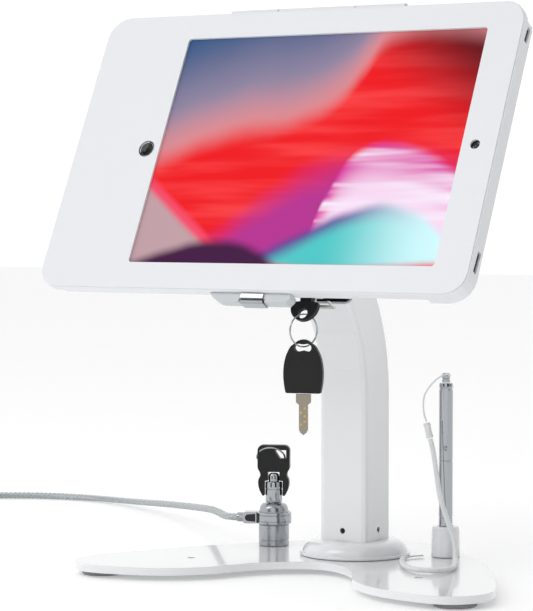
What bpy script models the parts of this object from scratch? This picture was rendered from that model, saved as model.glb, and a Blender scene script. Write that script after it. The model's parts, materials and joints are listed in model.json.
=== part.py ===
"""Locking tablet stand: heavy base, curved column, tilting and turning head, hinged lockable case,
steel security cable with its tubular-key lock, and a tethered stylus in its holder.

Sizes are in millimetres and are scaled to metres when a mesh is made. +Z is up and the case faces -Y.
Everything is drawn about the foot of the column, and then moved so that the origin is on the table
at the middle of the stand's outline.
"""
import math

import bmesh
import bpy
from mathutils import Matrix, Vector

MM = 0.001
GAP = 0.3

COLUMN_PLACE = (14.5, 28.6)

# Base plate and feet
PLATE_BOTTOM = 3.6
PLATE_TOP = 8.4
FOOT_RADIUS = 13.1
FRONT_FOOT = (123.6, -106.1)
REAR_FOOT = (38.0, 34.0)
BOLT_HOLE = (81.0, -68.7)

# Column: square tube, upright and then bent forward to the head
TUBE = 33.9
TUBE_WALL = 2.0
TUBE_CORNER = 3.2
BEND_START = 112.0
BEND_RADIUS = 104.0
BEND_ANGLE = math.radians(37)
TUBE_TAIL = 8.0
NECK = 18.0
COLLAR_RADIUS = 35.5
COLLAR_TOP = 18.4

# Case: X is across, Y is depth behind the front face, Z is up the leaning face
LEAN = math.radians(26.73)
WINDOW_CENTRE = (0.0, -65.4, 268.5)
WINDOW = (107.0, 80.2)
CASE_LEFT = -172.0
CASE_RIGHT = 130.3
CASE_HALF_HEIGHT = 98.3
CASE_CORNER = 15.0
SHEET = 1.5
LIP = 5.0
SIDE_DEPTH = 12.5
SHELL_BACK = 16.0
SHELL_INSET = 2.6
CARD_FRONT = 1.8
HINGE_AXIS = (5.4, 100.0)
KNUCKLE_RADIUS = 2.6
HINGE_SPAN = (-82.0, -47.0, 9.0, 44.0)
HOME_X = -116.8
CAMERA_X = 115.8

# Head
SWIVEL_HEIGHT = -30.0
BRACKET_FRONT = 21.2

# Case lock, behind the bottom edge of the case
KEY_X = 14.0
KEY_DEPTH = 22.5
KEY_BOW = 9.2
BOW_HOLE = -103.0
RING_TOP = -102.8
RING_RADIUS = 9.9
RING_WIRE = 0.85

# Cable lock and stylus on the base
LOCK_PLACE = (-65.6, 8.6)
PEN_PLACE = (55.5, 18.6)

# Security cable
CABLE_RADIUS = 2.45
CABLE_ROUTE = [(-86.5, -2.0, 26.6), (-99, 2, 26.4), (-124, 33, 23.8), (-158, 73, 19.6), (-227, 136, 11.5),
               (-287, 178, 5.6), (-333, 197, 3.2), (-365, 198, 2.7), (-392, 190, 2.7), (-416, 177, 2.7),
               (-440, 159.5, 2.7), (-462.9, 141.2, 2.7)]
COIL_CENTRE = (-432.0, 109.0)
COIL_RADIUS = 29.3
COIL_HALF_WIDTH = 12.6
COIL_HEIGHT = 10.4
TAIL_X = -466.2
TAIL_ROUTE = [(TAIL_X, 78, 7.0), (TAIL_X, 66, 5.4), (TAIL_X, 56, 4.5), (TAIL_X, 49, 4.3)]


def material(name, colour, roughness, metallic=0.0):
    mat = bpy.data.materials.new(name)
    mat.use_nodes = True
    shader = mat.node_tree.nodes["Principled BSDF"]
    shader.inputs["Base Color"].default_value = (*colour, 1.0)
    shader.inputs["Roughness"].default_value = roughness
    shader.inputs["Metallic"].default_value = metallic
    return mat


def clear_scene():
    for item in list(bpy.data.objects):
        bpy.data.objects.remove(item, do_unlink=True)
    for name in ("tablet_stand", "cutters"):
        bpy.context.scene.collection.children.link(bpy.data.collections.new(name))


def link(name, mesh, mat=None, parent=None, group="tablet_stand"):
    """Without a mesh this makes an empty. Under an empty with a pivot, places stay in the case's axes."""
    obj = bpy.data.objects.new(name, mesh)
    bpy.data.collections[group].objects.link(obj)
    if mat:
        obj.data.materials.append(mat)
    if parent:
        obj.parent = parent
        obj.matrix_parent_inverse = Matrix.Translation(Vector(parent.get("pivot", (0, 0, 0))) * -MM)
    if group == "cutters":
        obj.hide_render = True
        obj.display_type = "WIRE"
    return obj


def axis_at(name, pivot, parent=None):
    """An empty on one of the case's joint axes, given in the case's axes."""
    empty = link(name, None, parent=parent)
    empty["pivot"] = pivot
    empty.location = Vector(pivot) * MM
    if not parent:
        empty.location = case_axes() @ empty.location
        empty.rotation_euler = (-LEAN, 0, 0)
    return empty


def finish_mesh(bm, name, angle=35):
    bmesh.ops.recalc_face_normals(bm, faces=bm.faces)
    if all(e.is_manifold for e in bm.edges) and bm.calc_volume(signed=True) < 0:
        bmesh.ops.reverse_faces(bm, faces=bm.faces)
    mesh = bpy.data.meshes.new(name)
    bm.to_mesh(mesh)
    bm.free()
    mesh.shade_smooth()
    mesh.set_sharp_from_angle(angle=math.radians(angle))
    return mesh


def box_mesh(name, low, high, bevel=0.0, segments=2):
    bm = bmesh.new()
    bmesh.ops.create_cube(bm, size=1.0)
    size = [(b - a) * MM for a, b in zip(low, high)]
    centre = [(b + a) / 2 * MM for a, b in zip(low, high)]
    bmesh.ops.scale(bm, vec=size, verts=bm.verts)
    bmesh.ops.translate(bm, vec=centre, verts=bm.verts)
    if bevel:
        bmesh.ops.bevel(bm, geom=bm.edges[:], offset=bevel * MM, segments=segments, affect="EDGES")
    return finish_mesh(bm, name)


def rod_mesh(name, axis, radius, low, high, centre=(0, 0), sides=24, bevel=0.0):
    """A cylinder along X, Y or Z; centre is its place on the next two axes: YZ, ZX or XY."""
    bm = bmesh.new()
    bmesh.ops.create_cone(bm, cap_ends=True, segments=sides, radius1=radius * MM, radius2=radius * MM,
                          depth=(high - low) * MM)
    if bevel:
        rims = [e for e in bm.edges if abs(e.verts[0].co.z - e.verts[1].co.z) < 1e-7]
        bmesh.ops.bevel(bm, geom=rims, offset=bevel * MM, segments=2, affect="EDGES")
    bmesh.ops.translate(bm, vec=(0, 0, (low + high) / 2 * MM), verts=bm.verts)
    a, b = centre[0] * MM, centre[1] * MM
    turn = {"X": Matrix(((0, 0, 1, 0), (1, 0, 0, a), (0, 1, 0, b), (0, 0, 0, 1))),
            "Y": Matrix(((0, 1, 0, b), (0, 0, 1, 0), (1, 0, 0, a), (0, 0, 0, 1))),
            "Z": Matrix.Translation((a, b, 0))}[axis]
    bm.transform(turn)
    return finish_mesh(bm, name)


def slab_mesh(name, outline, plane, low, high, rim=0.0, rim_side="BOTH"):
    """A flat outline given thickness: plane XY runs up Z, XZ runs back along Y, YZ runs along X."""
    curve = bpy.data.curves.new(name, "CURVE")
    curve.dimensions = "2D"
    curve.fill_mode = "BOTH"
    curve.extrude = (high - low) / 2 * MM
    spline = curve.splines.new("POLY")
    spline.points.add(len(outline) - 1)
    for point, (x, y) in zip(spline.points, outline):
        point.co = (x * MM, y * MM, 0, 1)
    spline.use_cyclic_u = True
    obj = bpy.data.objects.new(name, curve)
    bpy.context.scene.collection.objects.link(obj)
    evaluated = obj.evaluated_get(bpy.context.evaluated_depsgraph_get())
    flat = bpy.data.meshes.new_from_object(evaluated)
    bpy.data.objects.remove(obj, do_unlink=True)
    bm = bmesh.new()
    bm.from_mesh(flat)
    bpy.data.meshes.remove(flat)
    bmesh.ops.remove_doubles(bm, verts=bm.verts, dist=1e-6)
    bmesh.ops.recalc_face_normals(bm, faces=bm.faces)
    if rim:
        half = (high - low) / 2 * MM
        sides = {"LOW": (-half,), "HIGH": (half,), "BOTH": (-half, half)}[rim_side]
        edges = [e for e in bm.edges if len(e.link_faces) == 2 and e.calc_face_angle(0) > 0.5
                 and any(all(abs(v.co.z - s) < 1e-7 for v in e.verts) for s in sides)]
        bmesh.ops.bevel(bm, geom=edges, offset=rim * MM, segments=2, affect="EDGES", clamp_overlap=True)
    bmesh.ops.translate(bm, vec=(0, 0, (low + high) / 2 * MM), verts=bm.verts)
    turn = {"XY": Matrix.Identity(4),
            "XZ": Matrix(((1, 0, 0, 0), (0, 0, 1, 0), (0, 1, 0, 0), (0, 0, 0, 1))),
            "YZ": Matrix(((0, 0, 1, 0), (1, 0, 0, 0), (0, 1, 0, 0), (0, 0, 0, 1)))}[plane]
    bm.transform(turn)
    return finish_mesh(bm, name)


def cut(obj, *meshes, operation="DIFFERENCE"):
    """Subtract or join the given meshes, which share the object's own axes."""
    for number, mesh in enumerate(meshes):
        tool = link(f"{obj.name}_{operation.lower()}_{len(obj.modifiers)}_{number}", mesh, group="cutters")
        tool.parent = obj
        modifier = obj.modifiers.new(tool.name, "BOOLEAN")
        modifier.operation = operation
        modifier.solver = "EXACT"
        modifier.object = tool


def turned(name, profile, mat, place, parent=None, steps=28, closed=False):
    """A turned piece: the profile lists (radius, height) down its outer side."""
    mesh = bpy.data.meshes.new(name)
    points = [(r * MM, 0, z * MM) for r, z in profile]
    edges = [(i, i + 1) for i in range(len(points) - 1)]
    if closed:
        edges.append((len(points) - 1, 0))
    mesh.from_pydata(points, edges, [])
    obj = link(name, mesh, mat, parent)
    obj.location = Vector(place) * MM
    screw = obj.modifiers.new("turn", "SCREW")
    screw.steps = steps
    screw.render_steps = steps
    screw.use_merge_vertices = True
    screw.merge_threshold = 0.00001
    screw.use_smooth_shade = True
    return obj


def smooth_route(points, spacing):
    """Points at an even spacing on a smooth curve through the given ones."""
    knots = [Vector(p) for p in points]
    knots = [knots[0] * 2 - knots[1]] + knots + [knots[-1] * 2 - knots[-2]]
    fine = []
    for i in range(1, len(knots) - 2):
        a, b, c, d = knots[i - 1:i + 3]
        for s in range(24):
            t = s / 24
            fine.append(0.5 * (2 * b + (c - a) * t + (2 * a - 5 * b + 4 * c - d) * t ** 2
                               + (3 * b - a - 3 * c + d) * t ** 3))
    fine.append(knots[-2])
    length = sum((q - p).length for p, q in zip(fine, fine[1:]))
    count = max(2, round(length / spacing))
    route, walked, target = [fine[0]], 0.0, length / count
    for p, q in zip(fine, fine[1:]):
        step = (q - p).length
        while walked + step >= target and len(route) < count:
            route.append(p.lerp(q, (target - walked) / step))
            target += length / count
        walked += step
    return route + [fine[-1]]


def wire(name, route, radius, mat, parent=None, cyclic=False, resolution=2):
    curve = bpy.data.curves.new(name, "CURVE")
    curve.dimensions = "3D"
    curve.bevel_depth = radius * MM
    curve.bevel_resolution = resolution
    curve.use_fill_caps = not cyclic
    spline = curve.splines.new("POLY")
    spline.points.add(len(route) - 1)
    for point, place in zip(spline.points, route):
        point.co = (*(Vector(place) * MM), 1)
    spline.use_cyclic_u = cyclic
    return link(name, curve, mat, parent)


def arc(cx, cy, radius, start, end, count):
    """Points on an arc, angles in degrees."""
    turns = [math.radians(start + (end - start) * i / count) for i in range(count + 1)]
    return [(cx + radius * math.cos(t), cy + radius * math.sin(t)) for t in turns]


def round_box(left, right, bottom, top, corner, count=6):
    return (arc(right - corner, top - corner, corner, 0, 90, count)
            + arc(left + corner, top - corner, corner, 90, 180, count)
            + arc(left + corner, bottom + corner, corner, 180, 270, count)
            + arc(right - corner, bottom + corner, corner, 270, 360, count))


def base_outline():
    """Boomerang with its arms forward: a smooth curve through half of it, mirrored."""
    half = [(0, 69.3), (32, 59.5), (62, 35), (95, -5), (131, -66), (143, -104), (124, -126),
            (82, -120), (53, -99), (31, -63), (0, -45.3)]
    mirrored = [(-x, y) for x, y in half[-2:0:-1]]
    loop = [Vector((x, y, 0)) for x, y in half + mirrored]
    count = len(loop)
    outline = []
    for i in range(count):
        a, b, c, d = (loop[(i + k - 1) % count] for k in range(4))
        for s in range(3):
            t = s / 3
            p = 0.5 * (2 * b + (c - a) * t + (2 * a - 5 * b + 4 * c - d) * t ** 2
                       + (3 * b - a - 3 * c + d) * t ** 3)
            outline.append((p.x, p.y))
    return outline[::-1]


def make_base(mats):
    plate = link("base_plate", slab_mesh("base_plate", base_outline(), "XY", PLATE_BOTTOM, PLATE_TOP, rim=1.8),
                 mats["paint"])
    for side in (-1, 1):
        x, y = BOLT_HOLE
        cut(plate, rod_mesh("hole", "Z", 2.6, 0, 20, (side * x, y), 16))
        cut(plate, rod_mesh("bolt_way", "Z", 3.4, 0, 20, (side * 8, 0), 16),
            rod_mesh("bolt_sink", "Z", 6.4, 0, 6.2, (side * 8, 0), 24))
        sides = "right" if side > 0 else "left"
        bolt = link(f"base_bolt_{sides}", rod_mesh("bolt", "Z", 2.9, 5.8, 22, (side * 8, 0), 16), mats["steel"])
        cut(bolt, rod_mesh("bolt_head", "Z", 6.0, 3.7, 5.9 + 0.05, (side * 8, 0), 24), operation="UNION")
        for end, (fx, fy) in (("front", FRONT_FOOT), ("rear", REAR_FOOT)):
            profile = [(0, PLATE_BOTTOM - GAP), (FOOT_RADIUS, PLATE_BOTTOM - GAP), (FOOT_RADIUS, 0.8),
                       (FOOT_RADIUS - 0.8, 0), (4.2, 0), (3.6, 1.6), (0, 1.6)]
            turned(f"foot_{end}_{sides}", profile, mats["rubber"], (side * fx, fy, 0), steps=20)
    collar = turned("column_collar",
                    [(15, COLLAR_TOP), (26.5, COLLAR_TOP), (29.5, 17.2), (32.4, 14.6), (34.0, 11.6), (34.2, 10.9),
                     (COLLAR_RADIUS, 10.4), (COLLAR_RADIUS, PLATE_TOP + GAP), (15, PLATE_TOP + GAP)],
                    mats["paint"], (0, 0, 0), steps=32, closed=True)
    half = TUBE / 2 + 0.35
    cut(collar, box_mesh("collar_well", (-half, -half, 0), (half, half, 30)))
    plug = link("column_plug", box_mesh("plug", (-14.4, -14.4, PLATE_TOP + GAP), (14.4, 14.4, 38), 1.5, 1),
                mats["steel"])
    for side in (-1, 1):
        cut(plug, rod_mesh("plug_thread", "Z", 3.2, 0, 22.6, (side * 8, 0), 16))
    cut(plug, rod_mesh("front_thread", "Y", 1.9, -20, -11.2, (25.1, 0), 16),
        rod_mesh("side_thread", "X", 1.9, 11.5, 20, (0, 25.1), 16))


def column_frames():
    """Stations along the column's middle line as (y, z, angle from upright)."""
    stations = [(0.0, PLATE_TOP + GAP, 0.0), (0.0, BEND_START, 0.0)]
    for i in range(1, 8):
        a = BEND_ANGLE * i / 7
        stations.append((-BEND_RADIUS * (1 - math.cos(a)), BEND_START + BEND_RADIUS * math.sin(a), a))
    y, z, a = stations[-1]
    stations.append((y - TUBE_TAIL * math.sin(a), z + TUBE_TAIL * math.cos(a), a))
    return stations


def tilt_point():
    y, z, a = column_frames()[-1]
    return Vector((0, y - NECK * math.sin(a), z + NECK * math.cos(a)))


def case_axes():
    return Matrix.Translation(Vector(WINDOW_CENTRE) * MM) @ Matrix.Rotation(-LEAN, 4, "X")


def tilt_place():
    """Where the tilt axis crosses the case's Y and Z."""
    local = case_axes().inverted() @ (tilt_point() * MM) / MM
    return local.y, local.z


def make_column(mats):
    """The square section is carried along the bend as an open skin and thickened inward."""
    bm = bmesh.new()
    section = round_box(-TUBE / 2, TUBE / 2, -TUBE / 2, TUBE / 2, TUBE_CORNER, 2)
    rings = []
    for y, z, a in column_frames():
        turn = Matrix.Translation((0, y * MM, z * MM)) @ Matrix.Rotation(a, 4, "X")
        rings.append([bm.verts.new(turn @ Vector((p * MM, q * MM, 0))) for p, q in section])
    for lower, upper in zip(rings, rings[1:]):
        for i in range(len(section)):
            j = (i + 1) % len(section)
            bm.faces.new((lower[i], lower[j], upper[j], upper[i]))
    column = link("column", finish_mesh(bm, "column"), mats["paint"])
    wall = column.modifiers.new("wall", "SOLIDIFY")
    wall.thickness = TUBE_WALL * MM
    wall.offset = -1.0
    wall.use_even_offset = True
    cut(column, rod_mesh("front_hole", "Y", 1.9, -25, -10, (25.1, 0), 16),
        rod_mesh("side_hole", "X", 1.9, 10, 25, (0, 25.1), 16))
    for name, axis in (("set_screw_front", "Y"), ("set_screw_side", "X")):
        low, high = (-16.2, -11.8) if axis == "Y" else (11.8, 16.2)
        place = (25.1, 0) if axis == "Y" else (0, 25.1)
        screw = link(name, rod_mesh(name, axis, 1.55, low, high, place, 16), mats["dark_steel"])
        socket_low, socket_high = (-17, -14.6) if axis == "Y" else (14.6, 17)
        cut(screw, rod_mesh("hex", axis, 0.8, socket_low, socket_high, place, 6))


def make_head(mats, tilt_axis, case_axis):
    """Knuckle on the column, bracket that tilts on it, and the plate that turns with the case."""
    knuckle_frame = link("column_end", None)
    knuckle_frame.location = tilt_point() * MM
    knuckle_frame.rotation_euler = (BEND_ANGLE, 0, 0)
    block = link("head_block", rod_mesh("knuckle", "X", 14.5, -16.6, 16.6, (0, 0), 40), mats["dark_steel"],
                 knuckle_frame)
    cut(block, box_mesh("stem", (-14.2, -13.4, -34), (14.2, 13.4, -2)), operation="UNION")
    cut(block, rod_mesh("bore", "X", 4.4, -30, 30, (0, 0), 24))

    ty, tz = tilt_place()
    bracket = link("tilt_bracket", box_mesh("bracket", (-20.6, BRACKET_FRONT, -64), (20.6, BRACKET_FRONT + 3, 4)),
                   mats["paint"], tilt_axis)
    cheek = arc(ty, tz, 14, -90, 90, 12) + [(BRACKET_FRONT + 1.5, -16), (BRACKET_FRONT + 1.5, -63)]
    for side in (-1, 1):
        low, high = sorted((side * 17.4, side * 20.6))
        cut(bracket, slab_mesh("cheek", cheek, "YZ", low, high), operation="UNION")
    cut(bracket, rod_mesh("tilt_bore", "X", 4.4, -30, 30, (ty, tz), 24),
        rod_mesh("swivel_bore", "Y", 4.4, 10, 40, (SWIVEL_HEIGHT, 0), 24))
    bolt = link("tilt_bolt", rod_mesh("tilt_bolt", "X", 4.0, -26, 21.2, (ty, tz), 24), mats["steel"], tilt_axis)
    cut(bolt, rod_mesh("bolt_head", "X", 7.2, 20.9, 25.6, (ty, tz), 32, bevel=0.8), operation="UNION")
    cut(bolt, rod_mesh("bolt_hex", "X", 2.6, 23, 28, (ty, tz), 6))
    nut = link("tilt_nut", rod_mesh("tilt_nut", "X", 7.4, -26.6, -20.9, (ty, tz), 6), mats["steel"], tilt_axis)
    cut(nut, rod_mesh("nut_bore", "X", 4.3, -30, -15, (ty, tz), 24))

    plate = link("mounting_plate",
                 slab_mesh("mounting_plate", round_box(-40, 40, SWIVEL_HEIGHT - 40, SWIVEL_HEIGHT + 40, 6, 4),
                           "XZ", SHELL_BACK + GAP, SHELL_BACK + 2.8), mats["paint"], case_axis)
    cut(plate, rod_mesh("plate_bore", "Y", 4.4, 10, 30, (SWIVEL_HEIGHT, 0), 24))
    for number, (sx, sz) in enumerate(((-1, -1), (1, -1), (1, 1), (-1, 1)), start=1):
        place = (SWIVEL_HEIGHT + 32 * sz, 32 * sx)
        cut(plate, rod_mesh("screw_way", "Y", 2.3, 10, 30, place, 12))
        screw = link(f"plate_screw_{number}", rod_mesh("screw", "Y", 1.8, 14.2, 19.3, place, 10),
                     mats["steel"], case_axis)
        cut(screw, rod_mesh("screw_head", "Y", 3.5, 19.1, 20.6, place, 14), operation="UNION")
        cut(screw, rod_mesh("screw_hex", "Y", 1.2, 19.8, 22, place, 6))
    ring = rod_mesh("friction_washer", "Y", 18, 19.1, 20.9, (SWIVEL_HEIGHT, 0), 40)
    washer = link("friction_washer", ring, mats["nylon"], case_axis)
    cut(washer, rod_mesh("washer_bore", "Y", 4.4, 10, 30, (SWIVEL_HEIGHT, 0), 24))
    swivel = link("swivel_bolt", rod_mesh("swivel_bolt", "Y", 4.0, 16.6, 25, (SWIVEL_HEIGHT, 0), 24),
                  mats["steel"], case_axis)
    cut(swivel, rod_mesh("swivel_head", "Y", 8.0, 24.5, 29.5, (SWIVEL_HEIGHT, 0), 6), operation="UNION")


def make_front_cover(mats, cover_axis):
    """Folded sheet lid: shallow lip all round, deeper wall with two slots at the right end."""
    outer = slab_mesh("front_cover", round_box(CASE_LEFT, CASE_RIGHT, -CASE_HALF_HEIGHT, CASE_HALF_HEIGHT,
                                               CASE_CORNER, 5), "XZ", 0, SIDE_DEPTH, rim=1.8, rim_side="LOW")
    cover = link("front_cover", outer, mats["paint"], cover_axis)
    inside = round_box(CASE_LEFT + SHEET, CASE_RIGHT - SHEET, SHEET - CASE_HALF_HEIGHT,
                       CASE_HALF_HEIGHT - SHEET, CASE_CORNER - SHEET, 5)
    cut(cover, slab_mesh("cover_inside", inside, "XZ", SHEET, 20))
    shallow = [(-200, -120), (-45, -120), (-45, -90), (55, -90), (55, -120), (104, -120), (104, 86), (140, 86),
               (140, 120), (-200, 120)]
    cut(cover, slab_mesh("trim_to_lip", shallow, "XZ", LIP, 20),
        box_mesh("trim_tab", (-47, 8.5, -120), (57, 25, -88)))
    cut(cover, slab_mesh("window", round_box(-WINDOW[0], WINDOW[0], -WINDOW[1], WINDOW[1], 2, 3),
                         "XZ", -5, 10))
    cut(cover, rod_mesh("home_hole", "Y", 5.75, -5, 10, (0, HOME_X), 32),
        rod_mesh("camera_hole", "Y", 3.2, -5, 10, (0, CAMERA_X), 24))
    for low, high in ((-80.8, -67.2), (72.8, 83.0)):
        slot = [(4.9, low), (9.0, low - 0.4), (10.1, high - 1), (10.1, high), (5.9, high)]
        cut(cover, slab_mesh("side_slot", slot, "YZ", 120, 140))
    y, z = HINGE_AXIS
    a, b, c, d = HINGE_SPAN
    cut(cover, rod_mesh("cover_knuckle", "X", KNUCKLE_RADIUS, b + GAP, c - GAP, (y, z), 20),
        box_mesh("knuckle_web", (b + 0.6, 3.1, 97.0), (c - 0.6, 5.2, 98.6)), operation="UNION")
    cut(cover, rod_mesh("cover_pin_way", "X", 1.35, b - 5, c + 5, (y, z), 16))
    for low, high in ((a - GAP, b + GAP), (c - GAP, d + GAP)):
        cut(cover, box_mesh("knuckle_notch", (low, 2.2, 95), (high, 7, 100)))
    link("lock_lug", box_mesh("lock_lug", (KEY_X - 2.5, 7.2, -96.5), (KEY_X + 2.5, 8.4, -95.1), 0.2, 1),
         mats["steel"], cover_axis)

    card = link("display_card", slab_mesh("display_card", round_box(-125, 125, -86.8, 86.8, 8, 4),
                                          "XZ", CARD_FRONT, CARD_FRONT + 1), mats["display"], cover_axis)
    cut(card, rod_mesh("card_hole", "Y", 7.8, 0, 5, (0, HOME_X), 24))
    profile = [(0, 1.2), (4.6, 1.2), (5.3, 0.5), (5.3, -0.9), (7.3, -0.9), (7.3, -1.8), (0, -1.8)]
    button = turned("home_button", profile, mats["gloss_black"], (HOME_X, CARD_FRONT, 0), cover_axis, 20)
    button.rotation_euler = (math.radians(90), 0, 0)

    housing_side = [(13.8, -98.6), (13.8, -101.2), (11.6, -104.0)] + arc(-33.5, -92.6, 11.4, 270, 212, 6)
    housing = link("lock_housing", slab_mesh("lock_housing", housing_side[::-1], "XZ", 3.4, 10.6),
                   mats["plate_grey"], cover_axis)
    cut(housing, box_mesh("hinge_seat", (-21.6, 3.0, -104.6), (-3.4, 5.4, -102.0)))
    link("latch_plate", box_mesh("latch_plate", (-20.6, 2.3, -102.0), (-4.4, 3.1, -99.0), 0.2, 1),
         mats["chrome"], cover_axis)
    pin_axis = (3.9, -103.6)
    link("latch_pin", rod_mesh("latch_pin", "X", 0.55, -21.4, -3.6, pin_axis, 12), mats["dark_steel"], cover_axis)
    latch_axis = axis_at("latch_axis", (-12.5, *pin_axis), cover_axis)
    lever = link("latch_lever", rod_mesh("latch_barrel", "X", 1.2, -20.6, -4.4, pin_axis, 16), mats["chrome"],
                 latch_axis)
    cut(lever, box_mesh("latch_leaf", (-20.6, 3.9, -104.9), (-4.4, 10.9, -104.4 + 0.1)), operation="UNION")
    cut(lever, rod_mesh("latch_bore", "X", 0.85, -24, 0, pin_axis, 16))


def make_rear_shell(mats, case_axis):
    left, right = CASE_LEFT + SHELL_INSET, CASE_RIGHT - SHELL_INSET
    half = CASE_HALF_HEIGHT - 3.5
    outer = slab_mesh("rear_shell", round_box(left, right, -half, half, 12, 4), "XZ", CARD_FRONT, SHELL_BACK,
                      rim=3.0, rim_side="HIGH")
    shell = link("rear_shell", outer, mats["paint"], case_axis)
    y, z = HINGE_AXIS
    a, b, c, d = HINGE_SPAN
    for low, high in ((a, b - GAP), (c + GAP, d)):
        tab = slab_mesh("tab", [(6.9, 93.6), (9.4, 93.6), (9.4, 99), (7.2, 101.6), (5.4, 101.8), (6.9, 98)],
                        "YZ", low + 0.4, high - 0.4)
        cut(shell, rod_mesh("shell_knuckle", "X", KNUCKLE_RADIUS, low, high, (y, z), 20), tab,
            operation="UNION")
    cut(shell, rod_mesh("shell_pin_way", "X", 1.35, a - 5, d + 5, (y, z), 16))
    for sx in (-1, 1):
        for sz in (-1, 1):
            cut(shell, rod_mesh("shell_screw_way", "Y", 2.3, 10, 30, (SWIVEL_HEIGHT + 32 * sz, 32 * sx), 12))
    cut(shell, slab_mesh("cable_way", round_box(-159, -137, -9, 9, 4, 4), "XZ", 10, 30))
    pocket = round_box(left + SHEET, right - SHEET, SHEET - half, half - SHEET, 10.5, 3)
    cut(shell, slab_mesh("pocket", pocket, "XZ", -3, SHELL_BACK - SHEET, rim=1.4, rim_side="HIGH"))
    link("hinge_pin", rod_mesh("hinge_pin", "X", 1.05, a - 1.5, d + 2.6, (y, z), 16), mats["dark_steel"],
         case_axis)
    for name, low, high in (("foam_pad_left", -118, -100), ("foam_pad_right", 100, 118)):
        link(name, box_mesh(name, (low, 10.4, -80), (high, 14.2, 80), 0.8, 1), mats["foam"], case_axis)


def make_case_lock(mats, case_axis):
    """Lock body behind the bottom edge, with the turning plug, cranked cam and key below it."""
    body = link("case_lock_body", box_mesh("case_lock_body", (KEY_X - 9, SHELL_BACK + GAP, -90.4),
                                           (KEY_X + 9, 28.5, -73.5), 1.2, 1), mats["plate_grey"], case_axis)
    cut(body, rod_mesh("plug_bore", "Z", 5.3, -95, -77, (KEY_X, KEY_DEPTH), 24))
    axis = (KEY_X, KEY_DEPTH)
    frame = link("case_lock_axis", None, parent=case_axis)
    frame.location = (axis[0] * MM, axis[1] * MM, 0)
    link("lock_plug", rod_mesh("lock_plug", "Z", 4.9, -90.9, -77.6, (0, 0), 32), mats["chrome"], frame)
    cam = link("lock_cam", rod_mesh("cam_hub", "Z", 5.6, -92.5, -91.2, (0, 0), 24), mats["dark_steel"], frame)
    cut(cam, box_mesh("cam_crank", (2.6, 2.2, -96.2), (4.2, 4.1, -91.6)),
        slab_mesh("cam_hook", [(2.2, 3.3), (15.9, 3.3), (15.9, -3.1), (17.4, -3.1), (17.4, 6.3), (2.2, 6.3)],
                  "XY", -96.3, -95.1), operation="UNION")
    bow = arc(0, -98.3, KEY_BOW, 18, -198, 18) + [(-3.8, -95.0), (-3.8, -92.8), (3.8, -92.8), (3.8, -95.0)]
    key = link("case_key", slab_mesh("case_key", bow, "XZ", -1.6, 1.6, rim=0.5), mats["black_plastic"], frame)
    cut(key, rod_mesh("bow_hole", "Y", 3.3, -5, 5, (BOW_HOLE, 0), 20))


def make_keys(mats):
    """Split ring through the key's bow and the spare key that hangs from it."""
    hole = case_axes() @ (Vector((KEY_X, KEY_DEPTH, RING_TOP)) * MM) / MM
    ring_turn = math.radians(64.6)
    across = Vector((math.cos(ring_turn), math.sin(ring_turn), 0))
    centre = Vector((0, 0, -RING_RADIUS))
    loop = [centre + RING_RADIUS * (across * math.cos(t) + Vector((0, 0, 1)) * math.sin(t))
            for t in (2 * math.pi * i / 28 for i in range(28))]
    ring = wire("key_ring", loop, RING_WIRE, mats["chrome"], cyclic=True, resolution=1)
    ring.location = hole * MM

    low = hole - Vector((0, 0, 2 * RING_RADIUS))
    spare = link("spare_key_frame", None)
    spare.location = low * MM
    spare.rotation_euler = (0, 0, math.radians(15))
    side = [(7.4, 1.9), (9.0, -0.8), (10.8, -5.4), (11.9, -10.2), (12.3, -15.0), (12.2, -19.8), (11.6, -24.6),
            (11.1, -27.4), (10.3, -28.2)]
    head = arc(0, -2.0, 6.5, 140, 40, 6) + side + [(-x, z) for x, z in reversed(side)]
    bow = link("spare_key_head", slab_mesh("spare_key_head", head[::-1], "XZ", -2.0, 2.0, rim=0.6),
               mats["black_plastic"], spare)
    kidney = arc(2.9, -0.5, 2.4, -90, 90, 6) + arc(-2.9, -0.5, 2.4, 90, 270, 6)
    cut(bow, slab_mesh("kidney_hole", kidney, "XZ", -5, 5))
    blade = [(-4.6, -28.6), (-4.6, -34), (-2.7, -35.2), (-2.7, -51), (0, -53.6), (2.7, -51), (2.7, -35.2),
             (4.6, -34), (4.6, -28.6)]
    link("spare_key_blade", slab_mesh("spare_key_blade", blade, "XZ", -1.1, 1.1), mats["nickel"], spare)


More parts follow.
